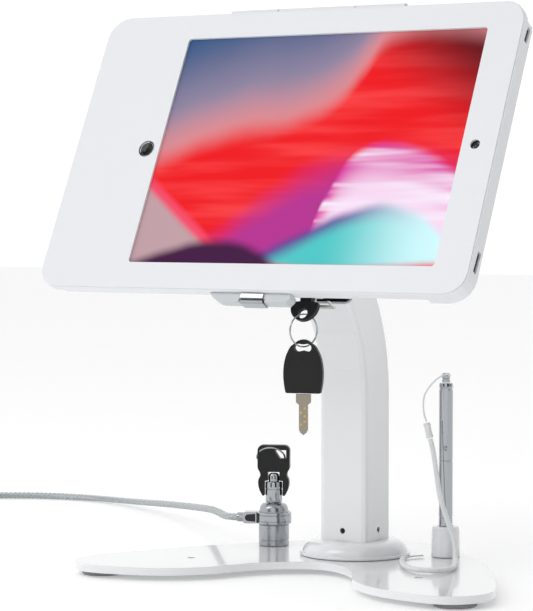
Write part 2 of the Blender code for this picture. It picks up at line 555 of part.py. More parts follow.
def make_cable_lock(mats):
    x, y = LOCK_PLACE
    low = PLATE_TOP + GAP
    turned("cable_lock_body", [(3.4, 36.2), (7.4, 36.2), (8.9, 34.6), (9.6, 31.4), (9.6, 22.4), (9.96, 21.8),
                               (9.96, low), (3.4, low)], mats["satin_steel"], (x, y, 0), steps=24, closed=True)
    collar = link("cable_lock_ring", rod_mesh("cable_lock_ring", "Z", 11.6, 22.9, 30.6, (0, 0), 28, bevel=0.5),
                  mats["chrome"])
    collar.location = (x * MM, y * MM, 0)
    cut(collar, box_mesh("lug", (-20.5, -4.4, 22.9), (-9, 4.4, 30.6), 0.9, 1), operation="UNION")
    cut(collar, rod_mesh("ring_bore", "Z", 9.95, 10, 40, (0, 0), 28))
    collar.rotation_euler = (0, 0, math.radians(26))
    core = [(0, 41.0), (3.0, 41.0), (3.0, 16), (0, 16)]
    turned("cable_lock_core", core, mats["steel"], (x, y, 0), steps=24)
    cup = [(0, 56.2), (2.2, 56.2), (3.4, 55.2), (3.6, 50.6), (4.9, 50.6), (5.5, 50.0), (5.5, 37.4),
           (5.0, 36.6), (3.7, 36.6), (3.7, 43.5), (0, 43.5)]
    turned("cable_key", cup, mats["chrome"], (x, y, 0), steps=20)
    frame = link("cable_key_frame", None)
    frame.location = (x * MM, y * MM, 0)
    frame.rotation_euler = (0, 0, math.radians(24))
    leg = [(6.0, 56.6), (6.0, 41.4), (7.4, 41.0), (10.0, 47.6), (10.2, 51.4), (8.7, 54.2), (8.7, 56.0),
           (10.6, 59.4)]
    bow = arc(-7.0, 71.0, 3.6, 90, 180, 3) + [(-x, z) for x, z in reversed(leg)] + leg \
        + arc(7.0, 71.0, 3.6, 0, 90, 3)
    head = link("cable_key_head", slab_mesh("cable_key_head", bow[::-1], "XZ", -3.2, 3.2, rim=0.7),
                mats["black_plastic"], frame)
    cut(head, slab_mesh("bow_window", [(4.2, 65.8), (8.4, 65.8), (8.4, 71.4), (0.6, 71.4)], "XZ", -8, 8))


def make_stylus(mats):
    x, y = PEN_PLACE
    low = PLATE_TOP + GAP
    turned("pen_holder", [(0, 11.4), (4.9, 11.4), (4.9, 28), (8.3, 28), (8.9, 27.3), (9.3, low), (0, low)],
           mats["paint"], (x, y, 0), steps=24)
    turned("stylus_barrel", [(0, 119.4), (4.4, 119.4), (4.4, 116.4), (4.1, 116.0), (4.1, 115.4), (4.4, 115.0),
                             (4.4, 27.0), (4.0, 22.0), (0, 22.0)], mats["chrome"], (x, y, 0), steps=20)
    turned("stylus_tip", [(0, 21.7), (3.5, 21.7), (3.6, 18), (3.0, 14.4), (1.6, 12.6), (0, 12.0)],
           mats["rubber_black"], (x, y, 0), steps=16)
    turned("stylus_cap", [(0, 125.8), (1.9, 125.8), (2.6, 125.1), (2.6, 119.7), (0, 119.7)], mats["chrome"],
           (x, y, 0), steps=16)
    frame = link("stylus_clip_frame", None)
    frame.location = (x * MM, y * MM, 0)
    frame.rotation_euler = (0, 0, math.radians(115))
    side = [(-4.7, 117.5), (-6.9, 117.5), (-7.6, 116.2), (-6.3, 77.5), (-5.7, 76.0), (-4.8, 77.5), (-5.9, 110),
            (-5.8, 114.6), (-4.7, 114.6)]
    link("stylus_clip", slab_mesh("stylus_clip", side, "XZ", -1.6, 1.6), mats["chrome"], frame)


def make_cords(mats):
    wire("security_cable", smooth_route(CABLE_ROUTE, 11), CABLE_RADIUS, mats["cable"])
    x, y = COIL_CENTRE
    low, high = COIL_RADIUS - COIL_HALF_WIDTH, COIL_RADIUS + COIL_HALF_WIDTH
    turned("security_cable_coil", [(low + 2, COIL_HEIGHT), (high - 2, COIL_HEIGHT), (high, COIL_HEIGHT - 2),
                                   (high, 2.2), (high - 2, 0.2), (low + 2, 0.2), (low, 2.2),
                                   (low, COIL_HEIGHT - 2)], mats["cable"], (x, y, 0), steps=20, closed=True)
    wire("security_cable_tail", smooth_route(TAIL_ROUTE, 6), CABLE_RADIUS, mats["cable"])
    tip = TAIL_ROUTE[-1][1] - GAP - 18
    ferrule = link("cable_ferrule", rod_mesh("cable_ferrule", "Y", 4.2, 0, 18, (0, 0), 20, bevel=0.6),
                   mats["nickel"])
    ferrule.location = (TAIL_X * MM, tip * MM, 4.3 * MM)
    half = [(0.8, 0, 4.3), (3, 0.2, 4.3), (10, 4.5, 4.3), (20, 9.5, 4.0), (31, 6.5, 3.6), (34.5, 0, 3.2)]
    back = [(31, -6.5, 3.2), (20, -9.5, 3.2), (8, -7.5, 3.2)]
    eye = smooth_route([(TAIL_X + across, tip - along, z) for along, across, z in half + back], 6)
    wire("cable_end_loop", eye, 2.3, mats["cable"])

    string, cord = 0.55, 1.8
    wire("tether_loop", smooth_route([(58.6, 18.2, 124.2), (58.0, 12.6, 125.2), (52.5, 8.5, 121), (46.6, 6.2, 112),
                                      (46.2, 5.6, 102), (48.2, 5.6, 95.2)], 3), string, mats["clear"])
    wire("tether_sleeve", [(48.3, 5.6, 94.6), (50.6, 5.8, 85.0)], 2.4, mats["plastic_white"])
    coiled = smooth_route([(50.8, 5.8, 84.6), (52.8, 6.2, 76), (55.2, 5.9, 63), (58.4, 4.8, 48),
                           (63.5, 4.6, 34), (69.5, 3.4, 20), (73.5, -4, 12.0), (82, -22, 10.5),
                           (87.5, -38, 10.5), (84, -50, 10.5), (72, -53.5, 10.5), (60, -45, 10.5),
                           (49.5, -30, 10.5), (43.0, -16, 10.5)], 6)
    tied = smooth_route([(42.6, -14.6, 10.3), (39.6, -6, 9.6), (41.2, 3.5, 9.5), (44.6, 8.6, 9.5)], 3)
    tether = wire("tether_cord", coiled + tied, cord, mats["plastic_white"])
    for point in tether.data.splines[0].points[-len(tied):]:
        point.radius = string / cord


def main():
    clear_scene()
    mats = {
        "paint": material("white_paint", (0.86, 0.87, 0.88), 0.25),
        "plate_grey": material("light_grey_paint", (0.72, 0.75, 0.76), 0.4),
        "plastic_white": material("white_plastic", (0.88, 0.88, 0.88), 0.4),
        "chrome": material("chrome", (0.8, 0.8, 0.82), 0.12, 1.0),
        "steel": material("zinc_steel", (0.6, 0.6, 0.62), 0.35, 1.0),
        "satin_steel": material("satin_steel", (0.5, 0.51, 0.52), 0.3, 1.0),
        "dark_steel": material("dark_steel", (0.12, 0.12, 0.13), 0.4, 1.0),
        "nickel": material("nickel_silver", (0.62, 0.58, 0.5), 0.3, 1.0),
        "rubber": material("grey_rubber", (0.3, 0.3, 0.31), 0.8),
        "rubber_black": material("black_rubber", (0.03, 0.03, 0.03), 0.7),
        "black_plastic": material("black_plastic", (0.02, 0.02, 0.022), 0.45),
        "gloss_black": material("gloss_black", (0.01, 0.01, 0.012), 0.1),
        "display": material("display_print", (0.35, 0.1, 0.25), 0.2),
        "foam": material("grey_foam", (0.2, 0.2, 0.2), 0.95),
        "nylon": material("white_nylon", (0.85, 0.85, 0.82), 0.6),
        "cable": material("coated_cable", (0.6, 0.62, 0.62), 0.35, 0.6),
        "clear": material("clear_string", (0.85, 0.86, 0.86), 0.3),
    }
    tilt_axis = axis_at("tilt_axis", (0, *tilt_place()))
    case_axis = axis_at("swivel_axis", (0, BRACKET_FRONT, SWIVEL_HEIGHT), tilt_axis)
    cover_axis = axis_at("cover_axis", (0, *HINGE_AXIS), case_axis)
    make_base(mats)
    make_column(mats)
    make_head(mats, tilt_axis, case_axis)
    make_front_cover(mats, cover_axis)
    make_rear_shell(mats, case_axis)
    make_case_lock(mats, case_axis)
    make_keys(mats)
    make_cable_lock(mats)
    make_stylus(mats)
    make_cords(mats)
    for obj in bpy.data.objects:
        if not obj.parent:
            obj.location += Vector((*COLUMN_PLACE, 0)) * MM


main()
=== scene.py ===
"""Looks of the locking tablet stand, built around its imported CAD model.

Lengths are in millimetres and are scaled by MM. Case pieces are placed in the case's own axes:
X across, Y depth behind the front face, Z up the leaning face.
"""
import json
import math

import bmesh
import bpy
from mathutils import Matrix, Vector


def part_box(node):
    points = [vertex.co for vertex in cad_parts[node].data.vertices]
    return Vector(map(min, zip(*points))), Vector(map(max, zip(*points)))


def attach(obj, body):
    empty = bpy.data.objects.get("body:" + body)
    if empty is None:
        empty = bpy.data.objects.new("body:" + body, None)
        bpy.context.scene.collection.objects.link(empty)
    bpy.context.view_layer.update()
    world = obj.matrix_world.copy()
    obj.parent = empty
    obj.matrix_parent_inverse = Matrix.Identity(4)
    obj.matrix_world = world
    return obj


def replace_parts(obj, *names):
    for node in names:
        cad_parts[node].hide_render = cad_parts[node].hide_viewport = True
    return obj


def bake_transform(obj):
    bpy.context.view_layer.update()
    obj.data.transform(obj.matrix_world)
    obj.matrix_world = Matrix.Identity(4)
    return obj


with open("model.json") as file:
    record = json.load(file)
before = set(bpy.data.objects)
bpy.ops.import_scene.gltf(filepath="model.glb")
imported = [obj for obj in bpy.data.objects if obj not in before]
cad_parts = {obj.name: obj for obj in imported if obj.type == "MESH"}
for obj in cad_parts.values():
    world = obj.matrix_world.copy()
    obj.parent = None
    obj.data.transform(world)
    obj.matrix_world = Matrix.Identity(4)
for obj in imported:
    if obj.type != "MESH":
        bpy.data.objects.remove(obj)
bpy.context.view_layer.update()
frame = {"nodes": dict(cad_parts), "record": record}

MM = 0.001
UP = Vector((0, 0, 1))
SMOOTH_ANGLE = math.radians(32)

CAMERA_PLACE = Vector((0.7505, -1.381, 0.2334))
CAMERA_TURN = (math.radians(90 - 2.38), 0, math.radians(30.6))
CAMERA_LENS = 144.65
PHOTO_RIGHT = (0.861, 0.509, 0)
PHOTO_NEAR = (0.509, -0.861, 0)

LEAN = math.radians(26.73)
CARD_MIDDLE = 2.3
PICTURE_SIZE = (0.2160, 0.1616)
HOME_X = -116.8
CAMERA_HOLE_X = 115.8
KEY_X = 14.0
KEY_DEPTH = 22.5
RING_RADIUS = 9.9
RING_WIRE = 0.85
RING_TURN = math.radians(64.6)
SPARE_KEY_TURN = math.radians(15)
HOLE_MARK = (81.0, -68.7)
CABLE_RADIUS = 2.45
LOCK_EYE_TURN = math.radians(26)
TUBULAR_KEY_TURN = math.radians(24)
CLIP_TURN = math.radians(115)
STRING_RADIUS = 0.55
CURL_RADIUS = 1.8


def middle(node):
    """Centre of a CAD node's box."""
    low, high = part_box(node)
    return (low + high) / 2


def standing(node):
    """Axes of an upright turned piece: its middle in plan, with heights from the table."""
    centre = middle(node)
    return Matrix.Translation((centre.x, centre.y, 0))


def case_axes():
    """The case's own axes, with the origin on the front face at its middle."""
    return (Matrix.Translation(middle("display_card")) @ Matrix.Rotation(-LEAN, 4, "X")
            @ Matrix.Translation((0, -CARD_MIDDLE * MM, 0)))


COLUMN = standing("column_plug")
CASE = case_axes()


# ---------------------------------------------------------------- camera, light and floor

def add_camera():
    """The photo's view, fitted to the window's corners, the column and the base."""
    data = bpy.data.cameras.new("camera")
    data.lens = CAMERA_LENS
    data.sensor_width = 36
    data.clip_start = 0.05
    data.clip_end = 50
    camera = bpy.data.objects.new("camera", data)
    bpy.context.scene.collection.objects.link(camera)
    camera.location = COLUMN @ CAMERA_PLACE
    camera.rotation_euler = CAMERA_TURN
    bpy.context.scene.camera = camera


def add_light(name, place, aim, size, power):
    """A soft box at place that shines at aim."""
    data = bpy.data.lights.new(name, "AREA")
    data.shape = "RECTANGLE"
    data.size, data.size_y = size
    data.energy = power
    light = bpy.data.objects.new(name, data)
    bpy.context.scene.collection.objects.link(light)
    light.location = place
    light.rotation_euler = (Vector(aim) - Vector(place)).to_track_quat("-Z", "Y").to_euler()


def studio_world():
    """White all round, dimmer towards the right, with two dark strips that show only in mirrors."""
    world = bpy.data.worlds.new("studio")
    world.use_nodes = True
    nodes, links = world.node_tree.nodes, world.node_tree.links
    background = nodes["Background"]
    place = nodes.new("ShaderNodeTexCoord")

    def along(direction):
        node = nodes.new("ShaderNodeVectorMath")
        node.operation = "DOT_PRODUCT"
        node.inputs[1].default_value = direction
        links.new(place.outputs["Generated"], node.inputs[0])
        return node.outputs["Value"]

    def band(source, *stops):
        fit = nodes.new("ShaderNodeMapRange")
        fit.inputs["From Min"].default_value = -1
        fit.inputs["From Max"].default_value = 1
        links.new(source, fit.inputs["Value"])
        ramp = nodes.new("ShaderNodeValToRGB")
        for _ in range(len(stops) - 2):
            ramp.color_ramp.elements.new(0.5)
        for element, (where, value) in zip(ramp.color_ramp.elements, stops):
            element.position = (where + 1) / 2
            element.color = (value, value, value, 1)
        links.new(fit.outputs["Result"], ramp.inputs["Fac"])
        return ramp.outputs["Color"]

    across = along(PHOTO_RIGHT)
    behind = along(PHOTO_NEAR)
    sides = band(across, (-1, 1.0), (-0.80, 1.0), (-0.72, 0.12), (-0.52, 0.12), (-0.44, 1.0), (0.16, 1.0),
                 (0.24, 0.04), (0.64, 0.04), (0.74, 0.55), (1.0, 0.30))
    front = band(behind, (-1, 0.0), (-0.35, 0.0), (0.1, 1.0), (1, 1.0))
    mix = nodes.new("ShaderNodeMix")
    mix.data_type = "RGBA"
    mix.inputs["A"].default_value = (1, 1, 1, 1)
    links.new(front, mix.inputs["Factor"])
    links.new(sides, mix.inputs["B"])
    links.new(mix.outputs["Result"], background.inputs["Color"])
    background.inputs["Strength"].default_value = 1.06
    bpy.context.scene.world = world


def add_studio():
    """White surroundings, one soft key light and a white floor."""
    scene = bpy.context.scene
    scene.view_settings.view_transform = "Standard"
    studio_world()
    add_light("key", (-0.75, -1.4, 1.5), (0, 0, 0.15), (1.0, 1.0), 9)
    floor_mesh = bpy.data.meshes.new("floor")
    bm = bmesh.new()
    bmesh.ops.create_grid(bm, x_segments=1, y_segments=1, size=6.0)
    bm.to_mesh(floor_mesh)
    bm.free()
    floor = bpy.data.objects.new("floor", floor_mesh)
    scene.collection.objects.link(floor)
    floor_mesh.materials.append(surface("floor_white", (0.95, 0.95, 0.95), 0.7, vary=0.004, grain=0.02,
                                        specular=0.1))
    shader = floor_mesh.materials[0].node_tree.nodes["Principled BSDF"]
    shader.inputs["Emission Color"].default_value = (1, 1, 1, 1)
    shader.inputs["Emission Strength"].default_value = 0.17


# ---------------------------------------------------------------- materials

def surface(name, colour, roughness, metallic=0.0, vary=0.03, vary_scale=18, wear=0.06, grain=0.05,
            grain_scale=1500, stretch=(1, 1, 1), coat=0.0, coat_roughness=0.05, specular=0.5):
    """A finish with uneven colour, patchy roughness and a fine grain in its bump."""
    mat = bpy.data.materials.new(name)
    mat.use_nodes = True
    nodes, links = mat.node_tree.nodes, mat.node_tree.links
    shader = nodes["Principled BSDF"]
    shader.inputs["Metallic"].default_value = metallic
    shader.inputs["Coat Weight"].default_value = coat
    shader.inputs["Coat Roughness"].default_value = coat_roughness
    shader.inputs["Specular IOR Level"].default_value = specular
    place = nodes.new("ShaderNodeTexCoord")
    scale = nodes.new("ShaderNodeMapping")
    scale.inputs["Scale"].default_value = stretch
    links.new(place.outputs["Object"], scale.inputs["Vector"])
    cloud = nodes.new("ShaderNodeTexNoise")
    cloud.inputs["Scale"].default_value = vary_scale
    cloud.inputs["Detail"].default_value = 4
    links.new(scale.outputs["Vector"], cloud.inputs["Vector"])
    tint = nodes.new("ShaderNodeMix")
    tint.data_type = "RGBA"
    tint.inputs["A"].default_value = (*[max(0.0, c * (1 - vary)) for c in colour], 1)
    tint.inputs["B"].default_value = (*[min(1.0, c * (1 + vary)) for c in colour], 1)
    links.new(cloud.outputs["Fac"], tint.inputs["Factor"])
    links.new(tint.outputs["Result"], shader.inputs["Base Color"])
    fine = nodes.new("ShaderNodeTexNoise")
    fine.inputs["Scale"].default_value = grain_scale
    fine.inputs["Detail"].default_value = 3
    links.new(scale.outputs["Vector"], fine.inputs["Vector"])
    rough = nodes.new("ShaderNodeMapRange")
    rough.inputs["From Min"].default_value = 0.25
    rough.inputs["From Max"].default_value = 0.75
    rough.inputs["To Min"].default_value = max(0.02, roughness - wear)
    rough.inputs["To Max"].default_value = min(1.0, roughness + wear)
    links.new(cloud.outputs["Fac"], rough.inputs["Value"])
    links.new(rough.outputs["Result"], shader.inputs["Roughness"])
    bump = nodes.new("ShaderNodeBump")
    bump.inputs["Strength"].default_value = grain
    bump.inputs["Distance"].default_value = 0.0002
    links.new(fine.outputs["Fac"], bump.inputs["Height"])
    links.new(bump.outputs["Normal"], shader.inputs["Normal"])
    return mat


def picture():
    """A generic screen picture: soft overlapping waves of blue, red, pink, violet and teal."""
    mat = surface("screen_picture", (0.5, 0.1, 0.1), 0.35, wear=0.01, grain=0.0, specular=0.06)
    nodes, links = mat.node_tree.nodes, mat.node_tree.links
    shader = nodes["Principled BSDF"]
    place = nodes.new("ShaderNodeTexCoord")
    unit = nodes.new("ShaderNodeMapping")
    unit.inputs["Scale"].default_value = (1 / PICTURE_SIZE[0], 1, 1 / PICTURE_SIZE[1])
    unit.inputs["Location"].default_value = (0.5, 0, 0.5)
    links.new(place.outputs["Object"], unit.inputs["Vector"])
    axes = nodes.new("ShaderNodeSeparateXYZ")
    links.new(unit.outputs["Vector"], axes.inputs["Vector"])
    cloud = nodes.new("ShaderNodeTexNoise")
    cloud.inputs["Scale"].default_value = 4.5
    cloud.inputs["Detail"].default_value = 3
    links.new(unit.outputs["Vector"], cloud.inputs["Vector"])
    streak_place = nodes.new("ShaderNodeMapping")
    streak_place.inputs["Rotation"].default_value = (0, math.radians(28), 0)
    streak_place.inputs["Scale"].default_value = (1.2, 1, 9)
    links.new(unit.outputs["Vector"], streak_place.inputs["Vector"])
    streak = nodes.new("ShaderNodeTexNoise")
    streak.inputs["Scale"].default_value = 1.6
    streak.inputs["Detail"].default_value = 2
    links.new(streak_place.outputs["Vector"], streak.inputs["Vector"])

    def maths(operation, *values):
        node = nodes.new("ShaderNodeMath")
        node.operation = operation
        for socket, value in zip(node.inputs, values):
            if isinstance(value, (int, float)):
                socket.default_value = value
            else:
                links.new(value, socket)
        return node.outputs["Value"]

    def under(stops, ripple):
        """Height of a wavy line over each point, as positive numbers below the line."""
        curve = nodes.new("ShaderNodeFloatCurve")
        points = curve.mapping.curves[0].points
        while len(points) < len(stops):
            points.new(0.5, 0.5)
        for point, stop in zip(points, stops):
            point.location = stop
        curve.mapping.update()
        links.new(axes.outputs["X"], curve.inputs["Value"])
        wave = maths("MULTIPLY_ADD", cloud.outputs["Fac"], ripple, -ripple / 2)
        return maths("ADD", maths("SUBTRACT", curve.outputs["Value"], axes.outputs["Z"]), wave)

    def step(value, low, high):
        node = nodes.new("ShaderNodeMapRange")
        node.interpolation_type = "SMOOTHSTEP"
        node.inputs["From Min"].default_value = low
        node.inputs["From Max"].default_value = high
        links.new(value, node.inputs["Value"])
        return node.outputs["Result"]

    def blend(factor, a, b):
        node = nodes.new("ShaderNodeMix")
        node.data_type = "RGBA"
        for source, socket in ((factor, "Factor"), (a, "A"), (b, "B")):
            if isinstance(source, tuple):
                node.inputs[socket].default_value = (*source, 1)
            elif isinstance(source, float):
                node.inputs[socket].default_value = source
            else:
                links.new(source, node.inputs[socket])
        return node.outputs["Result"]

    dusk = under([(0, 0.47), (0.25, 0.59), (0.45, 0.64), (0.56, 0.72), (0.63, 0.86), (0.70, 1.0), (1, 1)],
                 0.05)
    sky = blend(step(dusk, -0.62, 0.0), (0.010, 0.075, 0.20), (0.30, 0.235, 0.33))
    sky = blend(step(dusk, -0.22, 0.02), sky, (0.62, 0.22, 0.24))
    red = blend(step(streak.outputs["Fac"], 0.35, 0.75), (0.74, 0.006, 0.010), (0.82, 0.045, 0.05))
    corner = step(maths("ADD", axes.outputs["X"], axes.outputs["Z"]), 1.45, 1.95)
    red = blend(corner, red, (0.10, 0.004, 0.008))
    colour = blend(step(dusk, -0.04, 0.10), sky, red)
    rose = under([(0, 0.0), (0.2, 0.06), (0.4, 0.27), (0.58, 0.42), (0.75, 0.44), (1, 0.4)], 0.10)
    colour = blend(step(rose, -0.10, 0.14), colour, (0.40, 0.028, 0.25))
    petal = under([(0, 0), (0.52, 0.0), (0.60, 0.30), (0.68, 0.50), (0.76, 0.53), (1, 0.40)], 0.02)
    bloom = blend(step(petal, 0.02, 0.24), (0.62, 0.05, 0.33), (0.80, 0.60, 0.77))
    bloom = blend(step(streak.outputs["Fac"], 0.42, 0.70), bloom, (0.82, 0.72, 0.84))
    colour = blend(step(petal, -0.01, 0.05), colour, bloom)
    tide = under([(0, 0), (0.34, 0.0), (0.52, 0.11), (0.68, 0.22), (0.82, 0.25), (1, 0.12)], 0.03)
    sea = blend(step(tide, 0.0, 0.09), (0.10, 0.05, 0.27), (0.07, 0.50, 0.50))
    sea = blend(step(axes.outputs["X"], 0.62, 0.98), sea, (0.55, 0.82, 0.85))
    colour = blend(step(tide, -0.03, 0.03), colour, sea)
    sand = under([(0, 0.36), (0.10, 0.25), (0.2, 0.15), (0.32, 0.03), (0.4, 0), (1, 0)], 0.02)
    colour = blend(step(sand, -0.045, 0.0), colour, (0.78, 0.06, 0.12))
    colour = blend(step(sand, 0.0, 0.05), colour, (0.46, 0.30, 0.33))
    plum = under([(0, 0.01), (0.12, 0.07), (0.28, 0.11), (0.42, 0.07), (0.52, 0), (1, 0)], 0.03)
    colour = blend(step(plum, -0.02, 0.04), colour, (0.05, 0.007, 0.05))
    colour = blend(0.18, colour, (0.0, 0.0, 0.0))
    for link in list(shader.inputs["Base Color"].links):
        links.remove(link)
    links.new(colour, shader.inputs["Base Color"])
    links.new(colour, shader.inputs["Emission Color"])
    shader.inputs["Emission Strength"].default_value = 0.45
    return mat


MATS = {}


def make_materials():
    """Every finish, by the name that the pieces below use."""
    white = (0.80, 0.815, 0.84)
    MATS.update({
        "case_paint": surface("case_powder_coat", white, 0.42, vary=0.012, vary_scale=9, wear=0.05,
                              grain=0.10, grain_scale=2600, coat=0.15, coat_roughness=0.25),
        "base_paint": surface("base_gloss_enamel", (0.83, 0.84, 0.855), 0.16, vary=0.010, vary_scale=7,
                              wear=0.03, grain=0.05, grain_scale=420, coat=0.7, coat_roughness=0.05),
        "plate_grey": surface("lock_grey_paint", (0.56, 0.59, 0.61), 0.35, vary=0.03, grain=0.12,
                              grain_scale=1800),
        "chrome": surface("mirror_chrome", (0.40, 0.42, 0.44), 0.06, 1.0, vary=0.015, wear=0.03,
                          grain=0.02, grain_scale=900),
        "steel": surface("zinc_plate", (0.62, 0.62, 0.60), 0.34, 1.0, vary=0.10, vary_scale=120,
                         wear=0.10, grain=0.12, grain_scale=2200),
        "satin_steel": surface("satin_turned_steel", (0.38, 0.40, 0.42), 0.24, 1.0, vary=0.03,
                               vary_scale=14, wear=0.03, grain=0.05, grain_scale=700, stretch=(1, 1, 12)),
        "dark_steel": surface("black_oxide", (0.045, 0.046, 0.05), 0.38, 0.9, vary=0.15, vary_scale=90,
                              grain=0.12),
        "nickel": surface("nickel_silver", (0.34, 0.31, 0.25), 0.26, 1.0, vary=0.06, vary_scale=150,
                          wear=0.08, grain=0.14, grain_scale=1200, stretch=(8, 1, 1)),
        "brass": surface("brass_tip", (0.62, 0.42, 0.16), 0.28, 1.0, vary=0.06, vary_scale=150,
                         wear=0.08, grain=0.10),
        "foot_rubber": surface("grey_foot_rubber", (0.30, 0.30, 0.31), 0.62, vary=0.05, vary_scale=60,
                               grain=0.22, grain_scale=1800),
        "tip_rubber": surface("black_tip_rubber", (0.016, 0.016, 0.017), 0.55, vary=0.10, grain=0.15),
        "key_plastic": surface("key_black_plastic", (0.009, 0.009, 0.010), 0.38, vary=0.15,
                               vary_scale=70, wear=0.08, grain=0.30, grain_scale=1500, specular=0.3),
        "button_plastic": surface("button_gloss_black", (0.003, 0.003, 0.004), 0.12, vary=0.1,
                                  wear=0.02, grain=0.01, specular=0.35),
        "glass_black": surface("bezel_black_glass", (0.004, 0.004, 0.005), 0.10, vary=0.1, wear=0.02,
                               grain=0.0, coat=1.0, coat_roughness=0.02),
        "lens": surface("lens_glass", (0.006, 0.007, 0.014), 0.08, vary=0.3, vary_scale=300, wear=0.01,
                        grain=0.0, specular=0.4),
        "display_print": picture(),
        "foam": surface("closed_cell_foam", (0.06, 0.06, 0.065), 0.95, vary=0.25, vary_scale=500,
                        grain=0.9, grain_scale=1400),
        "nylon": surface("natural_nylon", (0.78, 0.77, 0.70), 0.5, vary=0.03, grain=0.08),
        "steel_cable": surface("coated_strand", (0.44, 0.47, 0.48), 0.26, 0.65, vary=0.05,
                               vary_scale=90, wear=0.05, grain=0.06, coat=0.6, coat_roughness=0.10),
        "tether_coil": surface("white_coil_plastic", (0.84, 0.85, 0.86), 0.30, vary=0.02, grain=0.05,
                               coat=0.4),
        "clear_string": surface("clear_nylon_string", (0.80, 0.82, 0.83), 0.18, vary=0.02, grain=0.03,
                                coat=0.5),
    })


def dress_cad():
    """Every CAD node takes the finish of its slot, and smooth shading across its round faces."""
    for entry in frame["record"]["subparts"]:
        node = frame["nodes"][entry["node"]]
        node.data.shade_smooth()
        node.data.set_sharp_from_angle(angle=SMOOTH_ANGLE)
        for slot in node.material_slots:
            slot.material = MATS[entry["material_slot"]]


# ---------------------------------------------------------------- shaping helpers

def put(obj, mat, body, place=None):
    """Finish and place a piece, and let it ride on its body."""
    bpy.context.scene.collection.objects.link(obj)
    obj.data.materials.append(MATS[mat])
    if place is not None:
        obj.matrix_world = place
    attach(obj, body)
    return obj


def smooth(bm, name, angle=32):
    """The mesh of bm, shaded smooth across edges that turn less than the angle in degrees."""
    bmesh.ops.recalc_face_normals(bm, faces=bm.faces)
    mesh = bpy.data.meshes.new(name)
    bm.to_mesh(mesh)
    bm.free()
    mesh.shade_smooth()
    mesh.set_sharp_from_angle(angle=math.radians(angle))
    return mesh


def lathe(name, profile, mat, body, place, steps=72, closed=False):
    """A turned piece; the profile lists (radius, height) down its outer side."""
    mesh = bpy.data.meshes.new(name)
    points = [(r * MM, 0, z * MM) for r, z in profile]
    edges = [(i, i + 1) for i in range(len(points) - 1)]
    if closed:
        edges.append((len(points) - 1, 0))
    mesh.from_pydata(points, edges, [])
    obj = bpy.data.objects.new(name, mesh)
    screw = obj.modifiers.new("turn", "SCREW")
    screw.steps = steps
    screw.render_steps = steps
    screw.use_merge_vertices = True
    screw.merge_threshold = 0.000005
    screw.use_smooth_shade = True
    bpy.context.scene.collection.objects.link(obj)
    flat = bpy.data.meshes.new_from_object(obj.evaluated_get(bpy.context.evaluated_depsgraph_get()))
    bpy.data.objects.remove(obj, do_unlink=True)
    bm = bmesh.new()
    bm.from_mesh(flat)
    bpy.data.meshes.remove(flat)
    return put(bpy.data.objects.new(name, smooth(bm, name, 28)), mat, body, place)


def slab(name, outline, low, high, rim, segments=3, holes=()):
    """A mesh of a flat XZ outline with holes, from depth low to high, with rounded rims."""
    curve = bpy.data.curves.new(name, "CURVE")
    curve.dimensions = "2D"
    curve.fill_mode = "BOTH"
    curve.extrude = (high - low) / 2 * MM
    for points in (outline, *holes):
        spline = curve.splines.new("POLY")
        spline.points.add(len(points) - 1)
        for point, (x, y) in zip(spline.points, points):
            point.co = (x * MM, y * MM, 0, 1)
        spline.use_cyclic_u = True
    obj = bpy.data.objects.new(name, curve)
    bpy.context.scene.collection.objects.link(obj)
    flat = bpy.data.meshes.new_from_object(obj.evaluated_get(bpy.context.evaluated_depsgraph_get()))
    bpy.data.objects.remove(obj, do_unlink=True)
    bm = bmesh.new()
    bm.from_mesh(flat)
    bpy.data.meshes.remove(flat)
    bmesh.ops.remove_doubles(bm, verts=bm.verts, dist=1e-6)
    bmesh.ops.recalc_face_normals(bm, faces=bm.faces)
    half = (high - low) / 2 * MM
    edges = [e for e in bm.edges if len(e.link_faces) == 2 and e.calc_face_angle(0) > 0.5
             and all(abs(abs(v.co.z) - half) < 1e-7 for v in e.verts)
             and abs(e.verts[0].co.z - e.verts[1].co.z) < 1e-7]
    if rim:
        bmesh.ops.bevel(bm, geom=edges, offset=rim * MM, segments=segments, affect="EDGES",
                        clamp_overlap=True)
    bmesh.ops.translate(bm, vec=(0, 0, (low + high) / 2 * MM), verts=bm.verts)
    bm.transform(Matrix(((1, 0, 0, 0), (0, 0, 1, 0), (0, 1, 0, 0), (0, 0, 0, 1))))
    return smooth(bm, name)


def plate(name, outline, low, high, mat, body, place, rim=0.4, holes=()):
    """A finished flat piece; see slab."""
    return put(bpy.data.objects.new(name, slab(name, outline, low, high, rim, holes=holes)), mat, body, place)


def block(name, low, high, mat, body, place, bevel=0.3):
    """A finished box between two corners."""
    bm = bmesh.new()
    bmesh.ops.create_cube(bm, size=1.0)
    bmesh.ops.scale(bm, vec=[(b - a) * MM for a, b in zip(low, high)], verts=bm.verts)
    bmesh.ops.translate(bm, vec=[(b + a) / 2 * MM for a, b in zip(low, high)], verts=bm.verts)
    bmesh.ops.bevel(bm, geom=bm.edges[:], offset=bevel * MM, segments=3, affect="EDGES")
    return put(bpy.data.objects.new(name, smooth(bm, name)), mat, body, place)


def arc(cx, cy, radius, start, end, count):
    """Points on a circle between two angles in degrees."""
    turns = [math.radians(start + (end - start) * i / count) for i in range(count + 1)]
    return [(cx + radius * math.cos(t), cy + radius * math.sin(t)) for t in turns]


def round_box(left, right, bottom, top, corner):
    """Outline of a box with round corners."""
    return (arc(right - corner, top - corner, corner, 0, 90, 8)
            + arc(left + corner, top - corner, corner, 90, 180, 8)
            + arc(left + corner, bottom + corner, corner, 180, 270, 8)
            + arc(right - corner, bottom + corner, corner, 270, 360, 8))


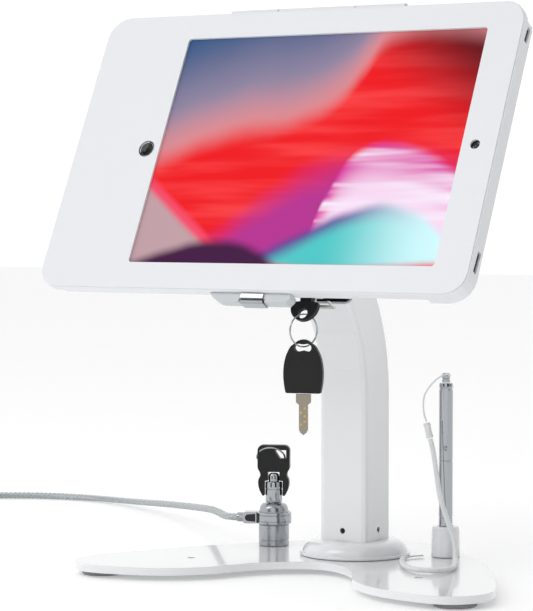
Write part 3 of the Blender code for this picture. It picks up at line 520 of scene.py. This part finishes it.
def smooth_route(points, spacing):
    """Points at an even spacing on a smooth curve through the given ones."""
    knots = [Vector(p) for p in points]
    knots = [knots[0] * 2 - knots[1]] + knots + [knots[-1] * 2 - knots[-2]]
    fine = []
    for i in range(1, len(knots) - 2):
        a, b, c, d = knots[i - 1:i + 3]
        for s in range(24):
            t = s / 24
            fine.append(0.5 * (2 * b + (c - a) * t + (2 * a - 5 * b + 4 * c - d) * t ** 2
                               + (3 * b - a - 3 * c + d) * t ** 3))
    fine.append(knots[-2])
    return even(fine, spacing)


def even(points, spacing):
    """The same route with its points at an even spacing."""
    length = run(points)
    count = max(2, round(length / spacing))
    route, walked, target = [points[0]], 0.0, length / count
    for p, q in zip(points, points[1:]):
        step = (q - p).length
        while walked + step >= target and len(route) < count:
            route.append(p.lerp(q, (target - walked) / step))
            target += length / count
        walked += step
    return route + [points[-1]]


def run(points):
    """Length along the points."""
    return sum((q - p).length for p, q in zip(points, points[1:]))


def sweep(name, route, section, twist=0.0):
    """A closed mesh tube: the section, radii all round, is carried along the route and twisted."""
    bm = bmesh.new()
    count = len(section)
    side = Vector((0, 0, 1))
    rings, turned = [], 0.0
    for i, point in enumerate(route):
        ahead = (route[min(i + 1, len(route) - 1)] - route[max(i - 1, 0)]).normalized()
        side = (side - ahead * side.dot(ahead)).normalized()
        across = ahead.cross(side)
        if i:
            turned += twist * (point - route[i - 1]).length
        ring = []
        for k, radius in enumerate(section):
            t = 2 * math.pi * k / count + turned
            ring.append(bm.verts.new((point + (side * math.cos(t) + across * math.sin(t)) * radius) * MM))
        rings.append(ring)
    for low, high in zip(rings, rings[1:]):
        for k in range(count):
            j = (k + 1) % count
            bm.faces.new((low[k], low[j], high[j], high[k]))
    bm.faces.new(rings[0][::-1])
    bm.faces.new(rings[-1])
    return smooth(bm, name, 75)


def world_points(route):
    """A route in the column's axes and millimetres, as points of the shared frame."""
    return [COLUMN @ (Vector(p) * MM) for p in route]


def wire(name, route, radius, mat, body, place, cyclic=False):
    """A round wire along the route, left as a curve."""
    curve = bpy.data.curves.new(name, "CURVE")
    curve.dimensions = "3D"
    curve.bevel_depth = radius * MM
    curve.bevel_resolution = 3
    curve.use_fill_caps = not cyclic
    spline = curve.splines.new("POLY")
    spline.points.add(len(route) - 1)
    for point, p in zip(spline.points, route):
        point.co = (*(Vector(p) * MM), 1)
    spline.use_cyclic_u = cyclic
    spline.use_smooth = True
    return put(bpy.data.objects.new(name, curve), mat, body, place)


# ---------------------------------------------------------------- cords

CABLE_ROUTE = [(-86.5, -2.0, 26.6), (-99, 2, 26.4), (-124, 33, 23.8), (-158, 73, 19.6), (-227, 136, 11.5),
               (-287, 178, 5.6), (-333, 197, 3.2), (-365, 198, 2.7), (-392, 190, 2.7), (-416, 177, 2.7),
               (-440, 159.5, 2.7), (-462.9, 141.2, 2.7)]
COIL_CENTRE = Vector((-432.0, 109.0, 0))
COIL_RADIUS = 29.3
COIL_PITCH = 5.0
COIL_TURNS = 4
COIL_START = math.radians(193.8)
COIL_LEAD = 60 / 360
LEAD_RADIUS = 44.65
COIL_END = COIL_TURNS + 2.962
LAYERS = (2.7, 7.7)
CABLE_LAY = 21
TAIL_X = -466.2
TAIL_END = (49.0, 4.3)


def ease(t):
    """Smooth step from 0 to 1."""
    t = min(1.0, max(0.0, t))
    return t * t * (3 - 2 * t)


def coil_point(turn):
    """A point on the winding: inwards along the table, up, and outwards on top of itself."""
    outer = COIL_RADIUS + COIL_PITCH * COIL_TURNS / 2
    inner = outer - COIL_PITCH * COIL_TURNS
    if turn < 0:
        radius = outer + (LEAD_RADIUS - outer) * ease(-turn / COIL_LEAD)
    elif turn < COIL_TURNS:
        radius = outer - COIL_PITCH * turn
    else:
        radius = inner + COIL_PITCH * (turn - COIL_TURNS)
    height = LAYERS[0] + (LAYERS[1] - LAYERS[0]) * ease((turn - COIL_TURNS + 0.15) / 0.3)
    angle = COIL_START + 2 * math.pi * turn
    return COIL_CENTRE + Vector((radius * math.cos(angle), radius * math.sin(angle), height))


def security_cable():
    """Six-lobed twisted strand under a clear coat, with its unseen length in a coil, and its end loop."""
    steps = round((COIL_END + COIL_LEAD) * 64)
    winding = [coil_point(-COIL_LEAD + (COIL_END + COIL_LEAD) * i / steps) for i in range(steps + 1)]
    leave = winding[-1]
    tail = []
    for i in range(1, 25):
        y = leave.y + (TAIL_END[0] - leave.y) * i / 24
        drop = ease((leave.y - y - 16) / 30)
        tail.append(Vector((leave.x + (TAIL_X - leave.x) * ease(i / 24), y,
                            leave.z + (TAIL_END[1] - leave.z) * drop)))
    route = even(smooth_route(CABLE_ROUTE, 2.0) + winding[1:] + tail, 1.15)
    lobes = [CABLE_RADIUS * (0.88 + 0.12 * math.cos(6 * 2 * math.pi * k / 36)) for k in range(36)]
    twist = 2 * math.pi / CABLE_LAY
    strand = sweep("security_cable_strand", route, lobes, twist)
    cable = put(bpy.data.objects.new("security_cable_strand", strand), "steel_cable", "base", COLUMN)
    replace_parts(cable, "security_cable", "security_cable_coil", "security_cable_tail")
    tip = TAIL_END[0] - 18.3
    half = [(0.8, 0, 4.3), (3, 0.2, 4.3), (10, 4.5, 4.3), (20, 9.5, 4.0), (31, 6.5, 3.6), (34.5, 0, 3.2)]
    back = [(31, -6.5, 3.2), (20, -9.5, 3.2), (8, -7.5, 3.2)]
    loop_route = smooth_route([(TAIL_X + across, tip - ahead, z) for ahead, across, z in half + back], 1.5)
    strand = sweep("cable_loop_strand", loop_route, [r * 0.93 for r in lobes], twist)
    loop = put(bpy.data.objects.new("cable_loop_strand", strand), "steel_cable", "base", COLUMN)
    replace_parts(loop, "cable_end_loop")
    return cable, loop, world_points(route), run(route) * MM


TETHER_CORD = [(50.8, 5.8, 84.6), (52.8, 6.2, 76), (55.2, 5.9, 63), (58.4, 4.8, 48), (63.5, 4.6, 34),
               (69.5, 3.4, 20), (73.5, -4, 12.0), (82, -22, 10.5), (87.5, -38, 10.5), (84, -50, 10.5),
               (72, -53.5, 10.5), (60, -45, 10.5), (49.5, -30, 10.5), (43.0, -16, 10.5)]
TETHER_LOOP = [(58.6, 18.2, 124.2), (58.0, 12.6, 125.2), (52.5, 8.5, 121), (46.6, 6.2, 112),
               (46.2, 5.6, 102), (48.2, 5.6, 95.2)]
TETHER_TAIL = [(42.8, -15.4, 10.4), (39.6, -6, 9.6), (41.2, 3.5, 9.5), (44.6, 8.6, 9.5)]
TETHER_SLEEVE = [(48.3, 5.6, 94.6), (50.6, 5.8, 85.0)]


def tether():
    """Curly cord of close turns, a string to the stylus and a string to the holder."""
    route = smooth_route(TETHER_CORD, 1.5)
    section = [CURL_RADIUS] * 16
    fine = []
    for p, q in zip(route, route[1:]):
        fine += [p, p.lerp(q, 0.25), p.lerp(q, 0.5), p.lerp(q, 0.75)]
    fine.append(route[-1])
    mesh = sweep("tether_curls", fine, section)
    count = len(section)
    for i, vertex in enumerate(mesh.vertices):
        ring, k = divmod(i, count)
        centre = fine[ring] * MM
        depth = 0.5 - 0.5 * math.cos(2 * math.pi * (ring / 4 + k / count))
        vertex.co = centre + (vertex.co - centre) * (1 - 0.20 * depth)
    cord = put(bpy.data.objects.new("tether_curls", mesh), "tether_coil", "base", COLUMN)
    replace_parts(cord, "tether_cord")
    start, end = Vector(TETHER_SLEEVE[0]), Vector(TETHER_SLEEVE[1])
    turn = (start - end).to_track_quat("Z", "X").to_matrix().to_4x4()
    length = (start - end).length
    profile = [(0.6, length), (1.7, length), (2.2, length - 0.5), (2.4, length - 1.4), (2.1, length - 2.2),
               (2.1, 2.2), (2.4, 1.4), (2.3, 0.4), (1.8, 0), (0.6, 0)]
    sleeve = lathe("tether_joint", profile, "tether_coil", "base",
                   COLUMN @ Matrix.Translation(end * MM) @ turn, 32, closed=True)
    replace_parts(sleeve, "tether_sleeve")
    tail = wire("tether_string_tail", smooth_route(TETHER_TAIL, 1.0), STRING_RADIUS, "clear_string", "base",
                COLUMN)
    loop_route = smooth_route(TETHER_LOOP, 1.0)
    mesh = sweep("tether_string_loop", loop_route, [STRING_RADIUS] * 10)
    loop = bpy.data.objects.new("tether_string_loop", mesh)
    bpy.context.scene.collection.objects.link(loop)
    loop.data.materials.append(MATS["clear_string"])
    loop.matrix_world = COLUMN
    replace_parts(loop, "tether_loop")
    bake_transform(loop)


# ---------------------------------------------------------------- base

def base_plate():
    """Boomerang plate with a rolled edge and two screw holes."""
    half = [(0, 69.3), (32, 59.5), (62, 35), (95, -5), (131, -66), (143, -104), (124, -126),
            (82, -120), (53, -99), (31, -63), (0, -45.3)]
    loop = [Vector((x, y, 0)) for x, y in half + [(-x, y) for x, y in half[-2:0:-1]]]
    outline = []
    for i in range(len(loop)):
        a, b, c, d = (loop[(i + k - 1) % len(loop)] for k in range(4))
        for t in (k / 12 for k in range(12)):
            p = 0.5 * (2 * b + (c - a) * t + (2 * a - 5 * b + 4 * c - d) * t ** 2
                       + (3 * b - a - 3 * c + d) * t ** 3)
            outline.append((p.x, p.y))
    holes = [arc(side * HOLE_MARK[0], HOLE_MARK[1], 2.6, 0, 360, 24)[:-1] for side in (-1, 1)]
    low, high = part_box("base_plate")
    mesh = slab("base_enamel", outline[::-1], 0, (high.z - low.z) / MM, 1.75, 6, holes)
    mesh.transform(Matrix(((1, 0, 0, 0), (0, 0, 1, 0), (0, 1, 0, 0), (0, 0, 0, 1))))
    mesh.flip_normals()
    place = Matrix.Translation((COLUMN.translation.x, COLUMN.translation.y, low.z))
    enamel = put(bpy.data.objects.new("base_enamel", mesh), "base_paint", "base", place)
    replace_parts(enamel, "base_plate")


def feet():
    """Four turned rubber feet with two grooves round the side and a ring below."""
    for node in ("foot_front_left", "foot_front_right", "foot_rear_left", "foot_rear_right"):
        profile = [(0, 3.3), (12.6, 3.3), (13.05, 2.9), (12.8, 2.55), (12.8, 2.3), (13.05, 2.0), (12.8, 1.7),
                   (12.8, 1.4), (13.05, 1.1), (12.7, 0.5), (12.0, 0.05), (10.6, 0.0), (10.3, 0.35),
                   (9.5, 0.35), (9.2, 0.0), (5.0, 0.0), (4.2, 0.3), (3.6, 1.6), (0, 1.6)]
        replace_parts(lathe(f"{node}_pad", profile, "foot_rubber", "base", standing(node)), node)


def collar():
    """Domed collar with a thin step at its foot, where it meets the plate."""
    dome = [(26.0, 18.4)] + arc(25.2, 9.6, 8.8, 84, 8, 12)
    profile = [(18.0, 18.4)] + dome + [(34.2, 10.9), (35.2, 10.7), (35.5, 10.3), (35.5, 9.2), (35.2, 8.75),
                                       (18.0, 8.7)]
    ring = lathe("collar_dome", profile, "base_paint", "base", COLUMN, 96, closed=True)
    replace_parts(ring, "column_collar")


def cable_lock():
    """Satin body, core, chrome swivel ring with its eye, and the tubular key; gives the cable's fittings."""
    place = standing("cable_lock_core")
    body = [(3.5, 36.2), (6.6, 36.2), (7.4, 35.9), (8.4, 35.0), (9.1, 33.6), (9.6, 31.4), (9.6, 30.9),
            (9.75, 30.7), (9.75, 22.8), (9.6, 22.4), (9.9, 22.1), (9.96, 21.7), (9.96, 12.6), (9.7, 12.3),
            (9.7, 11.7), (9.96, 11.4), (9.96, 9.0), (9.8, 8.7), (3.5, 8.7)]
    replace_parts(lathe("lock_barrel", body, "satin_steel", "base", place, closed=True), "cable_lock_body")
    shaft = [(0, 41.0), (2.6, 41.0), (3.0, 40.6), (3.0, 16), (0, 16)]
    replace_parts(lathe("lock_core_pin", shaft, "steel", "cable_key_turn", place, 48), "cable_lock_core")
    cup = [(0, 56.2), (1.6, 56.2), (2.6, 55.9), (3.3, 55.0), (3.55, 53.8), (3.6, 51.1), (3.4, 50.9),
           (3.4, 50.6), (4.8, 50.6), (5.25, 50.3), (5.5, 49.7), (5.5, 46.0), (5.3, 45.8), (5.3, 45.4),
           (5.5, 45.2), (5.5, 38.2), (5.3, 37.2), (5.0, 36.7), (3.7, 36.7), (3.7, 43.5), (0, 43.5)]
    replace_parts(lathe("tubular_key", cup, "chrome", "cable_key_turn", place), "cable_key")
    band = [(9.95, 30.55), (11.2, 30.55), (11.6, 30.2), (11.6, 29.2), (11.35, 29.0), (11.35, 28.6),
            (11.6, 28.4), (11.6, 25.1), (11.35, 24.9), (11.35, 24.5), (11.6, 24.3), (11.6, 23.3),
            (11.2, 22.95), (9.95, 22.95)]
    turn = place @ Matrix.Rotation(LOCK_EYE_TURN, 4, "Z")
    ring = lathe("swivel_band", band, "chrome", "base", turn, closed=True)
    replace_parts(ring, "cable_lock_ring")
    lug = [(-11.2, 22.95), (-18.2, 22.95)] + arc(-18.6, 24.7, 1.7, 270, 180, 6) \
        + arc(-18.6, 28.8, 1.7, 180, 90, 6) + [(-18.2, 30.55), (-11.2, 30.55)]
    tab = plate("swivel_eye", lug[::-1], -4.3, 4.3, "chrome", "base", turn, 0.8)
    # Painted shade: a black plate a little proud of both faces of the eye stands in for the dark hollow of
    # its hole.
    well = [(-12.0, 24.1), (-17.6, 24.6), (-18.9, 26.0), (-18.9, 27.5), (-17.6, 28.9), (-12.0, 29.4)]
    eye_hole_shade = plate("swivel_eye_painted_shade", well[::-1], -4.4, 4.4, "tip_rubber", "base", turn, 0.1)
    crimp = lathe("cable_crimp", [(0, 0), (2.9, 0), (3.1, 0.3), (3.1, 3.4), (2.9, 4.6), (2.6, 5.0), (0, 5.0)],
                  "chrome", "base", turn @ Matrix.Translation(Vector((-19.6, 0, 26.7)) * MM)
                  @ Matrix.Rotation(math.radians(-90), 4, "Y"), 40)
    leg = [(3.9, 56.9), (3.9, 51.2), (6.0, 51.0), (6.0, 41.6), (6.3, 41.3), (7.3, 41.2), (9.2, 44.8),
           (10.0, 47.6), (10.2, 50.2), (9.9, 52.2), (8.9, 54.0), (8.7, 55.4), (9.2, 57.0), (10.2, 58.6),
           (10.6, 60.2)]
    bow = arc(-7.0, 71.0, 3.6, 90, 180, 10) + [(-x, z) for x, z in reversed(leg)] + leg \
        + arc(7.0, 71.0, 3.6, 0, 90, 10)
    window = [(4.2, 65.8), (8.4, 65.8), (8.4, 71.4), (0.6, 71.4)]
    head_place = place @ Matrix.Rotation(TUBULAR_KEY_TURN, 4, "Z")
    head = plate("tubular_key_bow", bow[::-1], -3.1, 3.1, "key_plastic", "cable_key_turn", head_place, 0.8,
                 holes=[window])
    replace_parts(head, "cable_key_head")
    rim = [(x * 0.86, 58.5 + (z - 58.5) * 0.87 + 0.9) for x, z in bow if z > 57.5]
    for side in (-1, 1):
        low, high = sorted((side * 3.05, side * 3.2))
        plate(f"tubular_key_face_{'front' if side < 0 else 'back'}", rim[::-1], low, high, "key_plastic",
              "cable_key_turn", head_place, 0.06, holes=[window])
    hoop = []
    for t in (2 * math.pi * i / 48 for i in range(48)):
        rise = 7.0 if math.sin(t) > 0 else 3.15
        hoop.append((-2.0 - 9.3 * math.cos(t), -4.1 * math.sin(t), 66.0 + rise * math.sin(t)))
    wire("bow_hoop", hoop, 0.6, "chrome", "cable_key_turn", head_place, cyclic=True)
    return [ring, tab, eye_hole_shade, crimp]


def pen_holder():
    """Turned cup for the stylus."""
    profile = [(0, 11.4), (4.9, 11.4), (4.9, 27.6), (5.3, 28.0), (7.6, 28.0), (8.3, 27.7), (8.7, 27.0),
               (8.9, 25), (9.2, 10.2), (9.35, 9.3), (9.2, 8.8), (8.9, 8.7), (0, 8.7)]
    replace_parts(lathe("pen_well", profile, "base_paint", "base", standing("pen_holder")), "pen_holder")


def stylus():
    """Turned barrel, soft tip and plunger, with a tapered spring clip that ends in a ball."""
    place = standing("stylus_barrel")
    barrel = [(0, 119.4), (3.9, 119.4), (4.3, 119.0), (4.4, 118.4), (4.4, 116.6), (4.1, 116.2), (4.1, 115.4),
              (4.4, 115.0), (4.4, 70.2), (4.2, 70.0), (4.2, 69.4), (4.4, 69.2), (4.4, 34), (4.2, 33.7),
              (4.2, 33.2), (4.4, 32.9), (4.4, 27.0), (4.3, 25), (4.0, 22.0), (0, 22.0)]
    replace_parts(lathe("stylus_tube", barrel, "chrome", "stylus", place), "stylus_barrel")
    tip = [(0, 21.7)] + arc(0, 15.6, 3.6, 80, -90, 16)[3:]
    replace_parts(lathe("stylus_soft_tip", tip, "tip_rubber", "stylus", place), "stylus_tip")
    cap = [(0, 125.8), (1.6, 125.8), (2.2, 125.5), (2.6, 124.9), (2.6, 122.4), (2.35, 122.1), (2.35, 121.6),
           (2.6, 121.3), (2.6, 119.7), (0, 119.7)]
    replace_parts(lathe("stylus_plunger", cap, "chrome", "stylus", place, 48), "stylus_cap")
    side = [(-4.7, 117.4), (-6.6, 117.4), (-7.2, 117.0), (-7.55, 116.2), (-6.3, 79.5)] \
        + arc(-5.75, 77.6, 1.0, 150, 330, 10) \
        + [(-5.55, 80.5), (-5.9, 110), (-5.8, 113.6), (-5.4, 114.5), (-4.7, 114.7)]
    mesh = slab("stylus_spring_clip", side, -1.55, 1.55, 0.3)
    for vertex in mesh.vertices:
        vertex.co.y *= 0.45 + 0.55 * min(1, max(0, (vertex.co.z / MM - 77) / 36))
    turn = place @ Matrix.Rotation(CLIP_TURN, 4, "Z")
    clip = put(bpy.data.objects.new("stylus_spring_clip", mesh), "chrome", "stylus", turn)
    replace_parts(clip, "stylus_clip")
    ball = arc(0, 0, 1.35, 90, -90, 12)
    ball_place = turn @ Matrix.Translation(Vector((-6.1, 0, 78.6)) * MM)
    lathe("stylus_clip_ball", ball, "chrome", "stylus", ball_place, 28)


# ---------------------------------------------------------------- case

def facing_out(x):
    """Axes of a turned piece that looks out of the case's front, on its middle line."""
    return CASE @ Matrix.Translation((x * MM, 1.8 * MM, 0)) @ Matrix.Rotation(math.radians(90), 4, "X")


def screen():
    """Black glass with the picture under it, and the tablet's camera behind the cover's hole."""
    bezel = round_box(-124.8, 124.8, -86.6, 86.6, 8)
    home = arc(HOME_X, 0, 7.8, 0, 360, 40)[:-1]
    glass = plate("screen_glass", bezel, 2.1, 2.8, "glass_black", "cover", CASE, 0.2, holes=[home])
    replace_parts(glass, "display_card")
    plate("screen_picture", round_box(-108.5, 108.5, -81.8, 81.8, 1.5), 1.82, 2.0, "display_print", "cover",
          CASE, 0.05)
    for number, (low, high) in enumerate(((-80.4, -67.6), (73.2, 82.6))):
        block(f"side_slot_shadow_{number}", (128.5, 4.7, low), (128.95, 10.3, high), "tip_rubber", "cover",
              CASE, 0.05)
    face = facing_out(CAMERA_HOLE_X)
    lathe("camera_lens", [(0, 0.35), (0.8, 0.3), (1.4, 0.12), (1.7, 0.0), (1.7, -0.2), (0, -0.2)], "lens",
          "cover", face, 40)


def home_button():
    """Gloss black cap with a dished centre and a bright rim."""
    face = facing_out(HOME_X)
    profile = [(0, 0.75), (2.0, 0.8), (3.4, 1.0), (4.3, 1.2), (4.9, 1.05), (5.25, 0.6), (5.3, 0.2),
               (5.3, -0.9), (7.3, -0.9), (7.3, -1.8), (0, -1.8)]
    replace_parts(lathe("home_cap", profile, "button_plastic", "home_press", face), "home_button")
    lathe("home_rim", [(4.55, 1.19), (4.75, 1.22), (4.95, 1.1), (4.8, 1.02)], "chrome", "home_press", face,
          closed=True)


def case_keys():
    """Round key in the case lock, its split ring and the spare key."""
    axis = CASE @ Matrix.Translation((KEY_X * MM, KEY_DEPTH * MM, 0))
    bow = arc(0, -98.3, 9.2, 18, -198, 48) + [(-3.8, -95.0), (-3.8, -92.8), (3.8, -92.8), (3.8, -95.0)]
    hole = arc(0, -103.0, 3.3, 0, 360, 32)[:-1]
    key = plate("round_key", bow, -1.45, 1.45, "key_plastic", "lock_key", axis, 0.45, holes=[hole])
    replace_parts(key, "case_key")
    ring_low, ring_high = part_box("key_ring")
    top = (ring_low + ring_high) / 2
    top.z = ring_high.z - RING_WIRE * MM
    across = Vector((math.cos(RING_TURN), math.sin(RING_TURN), 0))
    aside = across.cross(UP)
    turns = []
    for i in range(97):
        t = 2 * math.pi * 2 * i / 96 + math.radians(100)
        hang = (across * math.cos(t) + UP * math.sin(t) - UP) * RING_RADIUS
        turns.append(hang + aside * (0.95 * (i / 96 - 0.5)))
    ring = wire("split_ring", turns, 0.43, "chrome", "ring", Matrix.Translation(top))
    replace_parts(ring, "key_ring")

    spare = Matrix.Translation(top - UP * (2 * RING_RADIUS * MM)) @ Matrix.Rotation(SPARE_KEY_TURN, 4, "Z")
    flank = [(4.98, 2.18), (7.4, 0.6), (9.2, -2.2), (10.9, -6.2), (11.9, -10.6), (12.3, -15.0), (12.2, -19.8),
             (11.6, -24.6), (11.1, -27.2)]
    side = [(x, z) for x, z, _ in smooth_route([(x, z, 0) for x, z in flank], 1.2)][1:]
    side += [(10.8, -27.9), (10.2, -28.2)]
    head = arc(0, -2.0, 6.5, 140, 40, 24) + side + [(-x, z) for x, z in reversed(side)]
    kidney = arc(2.9, -0.5, 2.4, -90, 90, 14) + [(0, 1.5)] + arc(-2.9, -0.5, 2.4, 90, 270, 14) \
        + [(0, -2.2)]
    cover = plate("spare_key_bow", head[::-1], -1.75, 1.75, "key_plastic", "spare_key", spare, 0.5,
                  holes=[kidney])
    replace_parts(cover, "spare_key_head")
    for face in (-1, 1):
        pad = [(x * 0.80, -15.5 + (z + 15.5) * 0.78) for x, z in head if z < -4.5]
        low, high = sorted((face * 1.7, face * 1.9))
        plate(f"spare_key_pad_{'front' if face < 0 else 'back'}", pad[::-1], low, high, "key_plastic",
              "spare_key", spare, 0.08)
    blade = [(-4.6, -28.6), (-4.6, -33.4), (-4.2, -34.2), (-2.9, -35.0), (-2.7, -35.6), (-2.7, -50.4),
             (-1.8, -52.2), (0, -53.6), (1.8, -52.2), (2.7, -50.4), (2.7, -35.6), (2.9, -35.0), (4.2, -34.2),
             (4.6, -33.4), (4.6, -28.6)]
    steel = plate("spare_key_shank", blade, -1.0, 1.0, "nickel", "spare_key", spare, 0.2)
    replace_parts(steel, "spare_key_blade")
    for number, (x, z) in enumerate(((1.2, -37.5), (-1.1, -40.0), (1.2, -42.2), (1.1, -45.6), (-1.2, -47.4))):
        for side in (-1, 1):
            dimple = Matrix.Translation(Vector((x, side, z)) * MM) \
                @ Matrix.Rotation(-side * math.pi / 2, 4, "X")
            lathe(f"blade_dimple_{number}_{'front' if side < 0 else 'back'}",
                  [(0, 0.02), (0.5, 0.05), (0.72, 0.1), (0.8, 0.04), (0.8, -0.1), (0, -0.1)], "brass",
                  "spare_key", spare @ dimple, 20)


def main():
    """Build the studio and every piece of the looks."""
    make_materials()
    add_camera()
    add_studio()
    dress_cad()
    cable, loop, path, length = security_cable()
    tether()
    base_plate()
    feet()
    collar()
    cable_lock()
    pen_holder()
    stylus()
    screen()
    home_button()
    case_keys()


main()
